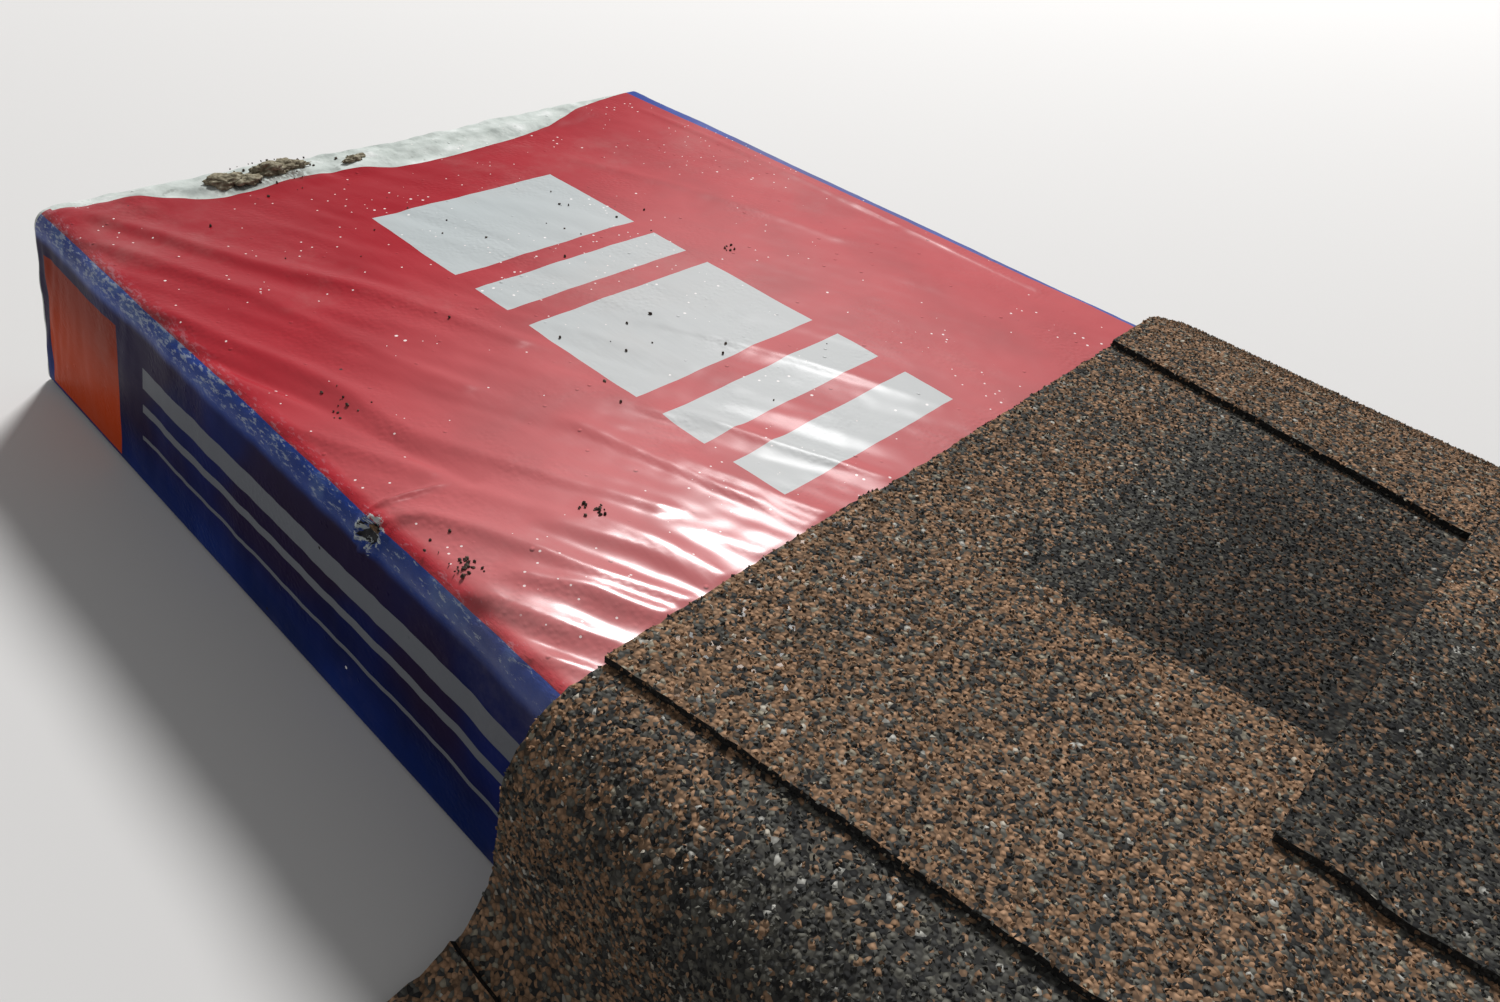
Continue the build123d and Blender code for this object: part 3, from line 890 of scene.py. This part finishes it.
def bareField(ply, x, s):
    close = smoothRise(s, 540 * mm, 570 * mm) * smoothFall(x, 118 * mm, 150 * mm)
    bare = shingles["granulesElsewhere"] + (1 - shingles["granulesElsewhere"]) * close
    bare = bare * (x < ply["coveredAfter"] * mm)
    if not ply["notches"]:      # a backing shows only through the notches of the overlay on it
        over = next(other for other in shingles["plies"] if other["notches"] and other["butt"] == ply["butt"])
        own = s / mm - ply["shift"]
        uncovered = np.zeros(len(x), bool)
        for start, width, startLean, endLean in over["notches"]:
            uncovered |= (own > start + min(startLean, 0) - 4) & (own < start + width + max(endLean, 0) + 4)
        bare = bare * uncovered
    return bare


def makePly(ply):
    buttLine, rootLine, tooth = plyLines(ply)
    rows, rootRow = plyRows(ply)
    x = np.repeat(rows, len(rootLine)) + ply["butt"] * mm
    share = np.clip(1 - rows / (shingles["toothDepth"] * mm), 0, 1)[:, None]
    s = (rootLine + (buttLine - rootLine) * share).ravel() + ply["shift"] * mm
    cells = np.ones((len(rows) - 1, len(tooth)), bool)
    cells[:rootRow, ~tooth] = False
    count = len(rootLine)
    filled = np.zeros((len(rows) + 1, count + 1), bool)
    filled[1:-1, 1:-1] = cells
    around = [filled[:-1, :-1], filled[1:, :-1], filled[:-1, 1:], filled[1:, 1:]]
    used = np.any(around, 0).ravel()
    edge = used & ~np.all(around, 0).ravel()
    where = triples(x, s, ply["seed"])
    ragged = drape["ragged"] * edge
    x = x + noiseField(where, shingles["noiseScale"], ply["seed"]) * ragged
    s = s + noiseField(where, shingles["noiseScale"], ply["seed"] + 5) * ragged
    ripple = (noiseField(triples(x, s), 11, 31) * 0.5 + 0.5) * drape["ripple"]
    base = plyHeight(ply, x) + ripple
    top = drapePoints(x, s, base + drape["plyThickness"])
    low = drapePoints(x, s, base)
    low[:, 2] = np.maximum(low[:, 2], 0.2 * mm)
    number = np.cumsum(used) - 1
    points = np.vstack([top[used], low[used]])
    under = int(used.sum())
    faces, slots = [], []
    for i, j in np.argwhere(cells):
        a, b = i * count + j, (i + 1) * count + j
        quad = [int(number[k]) for k in (a, b, b + 1, a + 1)]
        faces += [tuple(quad), tuple(k + under for k in reversed(quad))]
        slots += [0, 1]
        beside = [filled[i + 1, j], filled[i + 2, j + 1], filled[i + 1, j + 2], filled[i, j + 1]]
        for head, tail, neighbour in zip(quad, quad[1:] + quad[:1], beside):
            if not neighbour:
                faces.append((tail, head, head + under, tail + under))
                slots.append(1)
    material = backingMaterial if "Backing" in ply["name"] else overlayMaterial
    piece = makePiece(ply["name"], points, faces, [material, asphaltMaterial], slots)
    tone, bare = (field(ply, x[used], s[used]) for field in (toneField, bareField))
    for label, values in (("tone", np.tile(tone, 2)), ("bare", np.concatenate([bare, np.zeros(under)]))):
        layer = piece.data.attributes.new(label, "FLOAT", "POINT")
        layer.data.foreach_set("value", values.astype(np.float32))
    piece.data.set_sharp_from_angle(angle=math.radians(50))
    return piece


def makeScatterTree():
    tree, given, result = newGroup(
        "scatterGranules", {"Geometry": "Geometry", "Size": "Float", "Density": "Float", "Seed": "Int",
                            "Stone": "Material"}, {"Geometry": "Geometry"}, "GeometryNodeTree")

    def named(label):
        made = addNode(tree, "GeometryNodeInputNamedAttribute", {"Name": label}, data_type="FLOAT")
        return made.outputs["Attribute"]

    def shaped(kind, geometry, inputs, **settings):
        made = addNode(tree, "GeometryNode" + kind, {"Geometry": geometry, **inputs}, **settings)
        return made.outputs["Geometry"]

    def dice(kind, low, high):
        first = 2 if kind == "FLOAT" else 0
        made = addNode(tree, "FunctionNodeRandomValue", {first: low, first + 1: high, "Seed": given["Seed"]},
                       data_type=kind)
        return made.outputs[1 if kind == "FLOAT" else 0]

    density = maths(tree, "MULTIPLY", given["Density"], named("bare"))
    spread = addNode(tree, "GeometryNodeDistributePointsOnFaces",
                     {"Mesh": given["Geometry"], "Density": density, "Seed": given["Seed"]})
    stone = addNode(tree, "GeometryNodeMeshUVSphere", {"Segments": 4, "Rings": 2, "Radius": 1.0})
    stone = shaped("Transform", stone.outputs["Mesh"], {"Scale": (1.0, 0.85, 0.7)})
    stone = shaped("SetShadeSmooth", stone, {"Shade Smooth": False})
    turn = dice("FLOAT_VECTOR", (0, 0, 0), (6.28, 6.28, 6.28))
    share = dice("FLOAT_VECTOR", (0.6, 0.6, 0.45), (1.3, 1.2, 0.95))
    size = addNode(tree, "ShaderNodeVectorMath", {0: share, "Scale": given["Size"]}, operation="SCALE")
    laid = addNode(tree, "GeometryNodeInstanceOnPoints",
                   {"Points": spread.outputs["Points"], "Instance": stone, "Rotation": turn,
                    "Scale": size.outputs[0]})
    laid = shaped("StoreNamedAttribute", laid.outputs["Instances"],
                  {"Name": "grain", "Value": dice("FLOAT", 0.02, 1.0)}, data_type="FLOAT", domain="INSTANCE")
    joined = addNode(tree, "GeometryNodeJoinGeometry")
    for part in (laid, given["Geometry"]):
        tree.links.new(part, joined.inputs["Geometry"])
    real = shaped("RealizeInstances", joined.outputs["Geometry"], {})
    isGrain = addNode(tree, "FunctionNodeCompare", {0: named("grain"), 1: 0.01}).outputs[0]
    painted = shaped("SetMaterial", real, {"Material": given["Stone"], "Selection": isGrain})
    feed(tree, result, {"Geometry": painted})
    return tree


def runNodes(piece, tree, values):
    modifier = piece.modifiers.new(tree.name, "NODES")
    modifier.node_group = tree
    for item in tree.interface.items_tree:
        if item.in_out == "INPUT" and item.name in values:
            modifier[item.identifier] = values[item.name]
    piece.update_tag()
    mesh = bpy.data.meshes.new_from_object(piece.evaluated_get(bpy.context.evaluated_depsgraph_get()))
    piece.modifiers.clear()
    piece.data = mesh


scatterTree = makeScatterTree()
for ply in shingles["plies"]:
    piece = makePly(ply)
    runNodes(piece, scatterTree, {"Size": shingles["granuleSize"], "Density": shingles["granulesShown"],
                                  "Seed": ply["seed"], "Stone": piece.data.materials[0]})
    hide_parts(ply["node"])
    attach(piece, "root")
    print(ply["name"], "made:", len(piece.data.polygons), "faces")

for name in ("stacked_overlays", "stacked_backings"):
    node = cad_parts[name]
    node.data.materials.clear()
    node.data.materials.append(stackedMaterial)

# Dried mud on the far edge, and crumbs and loose granules on the film
mud = {
    # In millimetres: along, across, half lengths along and across, height
    "crusts": [(14, 76, 5.5, 8, 2.6), (17, 85, 4.5, 6, 2.2), (15, 80, 3, 12, 1.6), (12, 98, 6, 7, 3.2),
               (9.5, 108, 5.5, 7, 3.0), (12, 103, 3, 13, 2.0), (16, 139, 2.6, 4.6, 1.6),
               (12, 145, 1.8, 3.4, 1.2)],
    # along, across, how many, spread
    "crumbs": [(13, 100, 40, 22), (12, 140, 8, 7), (296, 11, 22, 5), (298, 55, 16, 5), (189, 230, 8, 4),
               (200, 27, 12, 9), (285, 8, 8, 8), (130, 190, 10, 40), (240, 140, 12, 60), (80, 120, 12, 60)],
    "crumbSize": (0.3, 0.85),
    "driedMud": [(0.3, (0.09, 0.075, 0.048)), (0.48, (0.22, 0.19, 0.13)), (0.7, (0.38, 0.35, 0.26))],
    "looseGrit": [(0.3, (0.02, 0.014, 0.012)), (0.48, (0.06, 0.042, 0.034)), (0.7, (0.17, 0.13, 0.10))],
    "grain": (520.0, 5.0),
    "bump": 1.2 * mm,
    "gloss": {"Roughness": 0.95, "Specular IOR Level": 0.15},
}


def addLump(work, place, size, seed, detail, sunk):
    along, across = place
    level = bundle["height"] + float(topRelief(np.array([along]), np.array([across]))[0])
    shift = Vector((seed * 1.7, seed * 0.7, 0))
    for vert in bmesh.ops.create_icosphere(work, subdivisions=detail, radius=1.0)["verts"]:
        swell = 1 + 0.5 * noise.noise(vert.co * 1.2 + shift)
        if detail > 2:
            swell += 0.3 * noise.noise(vert.co * 3.1 + shift) + 0.16 * noise.noise(vert.co * 7.3 + shift)
        x, y, z = vert.co * swell
        vert.co = (topFar + along + x * size[0], topLeft + across + y * size[1], level + (z + sunk) * size[2])


def makeMud():
    dice = np.random.default_rng(5)
    work = bmesh.new()
    for i, (along, across, halfAlong, halfAcross, height) in enumerate(mud["crusts"]):
        size = np.array([halfAlong, halfAcross, height]) * mm
        addLump(work, (along * mm, across * mm), size, i + 3, 4, 0.25)
    crustFaces = len(work.faces)
    for i, (along, across, count, spread) in enumerate(mud["crumbs"]):
        for k in range(count):
            place = np.array([along, across]) + dice.normal(0, spread / 2, 2)
            size = dice.uniform(*mud["crumbSize"]) * dice.uniform(0.6, 1.2, 3)
            addLump(work, np.maximum(place, 1) * mm, size * mm, i * 31 + k, 1, 0.4)
    mesh = bpy.data.meshes.new("driedMud")
    work.to_mesh(mesh)
    work.free()
    for name in ("driedMud", "looseGrit"):
        mesh.materials.append(makeGrittyMaterial(name, *mud["grain"], mud[name], mud["bump"], mud["gloss"]))
    isCrumb = np.arange(len(mesh.polygons)) >= crustFaces
    mesh.polygons.foreach_set("use_smooth", ~isCrumb)
    mesh.polygons.foreach_set("material_index", isCrumb.astype(np.int32))
    piece = addObject("driedMud", mesh)
    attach(piece, "root")


makeMud()
print("mud made")

# Stage: pale floor, soft light, whitish surroundings
stage = {
    "floor": (0.61, 0.60, 0.59),
    "floorHalf": 6,
    "floorLevel": -0.4 * mm,
    "aim": (330 * mm, 60 * mm),   # on the top, from its far and left edges
    "sky": 0.235,
    "seen": 0.66,
    # Place from the aim, size and power
    "lamps": {"key": ((-2.48, 3.52, 4.18), 1.25, 440.0), "fill": ((0.6, -2.2, 1.6), 2.2, 4.0)},
}


def makeStage():
    scene = bpy.context.scene
    scene.view_settings.view_transform = "Standard"
    material, tree, shader = newMaterial("paleFloor")
    feed(tree, shader, {"Base Color": (*stage["floor"], 1.0), "Roughness": 0.85})
    half, level = stage["floorHalf"], stage["floorLevel"]
    corners = [(-half, -half, level), (half, -half, level), (half, half, level), (-half, half, level)]
    floor = makePiece("floor", corners, [(0, 1, 2, 3)], [material])
    world = bpy.data.worlds.new("paleRoom")
    scene.world = world
    world.use_nodes = True
    tree = world.node_tree
    rays = addNode(tree, "ShaderNodeLightPath").outputs
    seen = maths(tree, "MAXIMUM", rays["Is Camera Ray"],
                 maths(tree, "MAXIMUM", rays["Is Glossy Ray"], rays["Is Transmission Ray"]))
    strength = maths(tree, "MULTIPLY_ADD", seen, stage["seen"] - stage["sky"], stage["sky"])
    feed(tree, tree.nodes["Background"], {"Strength": strength, "Color": (1, 1, 1, 1)})
    aim = Vector((topFar + stage["aim"][0], topLeft + stage["aim"][1], bundle["height"]))
    for name, (place, size, power) in stage["lamps"].items():
        data = bpy.data.lights.new(name, "AREA")
        data.shape, data.size, data.energy = "DISK", size, power
        lamp = addObject(name, data)
        lamp.location = aim + Vector(place)
        lamp.rotation_euler = (aim - lamp.location).to_track_quat("-Z", "Y").to_euler()


makeStage()
print("stage made")
